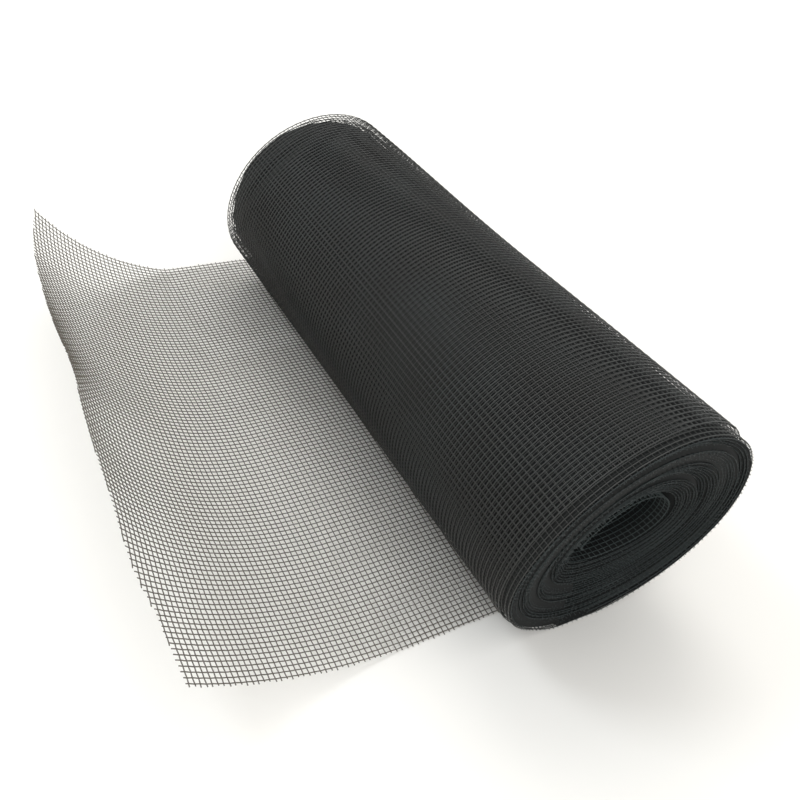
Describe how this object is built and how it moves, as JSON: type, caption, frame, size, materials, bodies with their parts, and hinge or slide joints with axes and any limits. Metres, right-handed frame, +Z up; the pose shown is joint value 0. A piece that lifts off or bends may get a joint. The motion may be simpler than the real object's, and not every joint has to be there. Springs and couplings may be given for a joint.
{
  "type": "roll of insect screen",
  "caption": "Charcoal insect screen of open woven mesh, wound without a core into a short roll that lies on its side, with its loose end drawn out flat and curling up at the cut edge.",
  "frame": {"origin": "middle of the flat spot on which the roll lies, halfway along the outer turn before it slid", "axes": "+Z up, +Y along the roll's axis towards its narrower far end, and the loose end runs towards -X"},
  "size_m": [0.1448, 0.1832, 0.0709],
  "materials": {
    "screen_cloth": "matt charcoal vinyl coat on woven glass yarn"
  },
  "bodies": {
    "root": {"roll": "screen_cloth", "loose_end": "screen_cloth"}
  },
  "joints": []
}
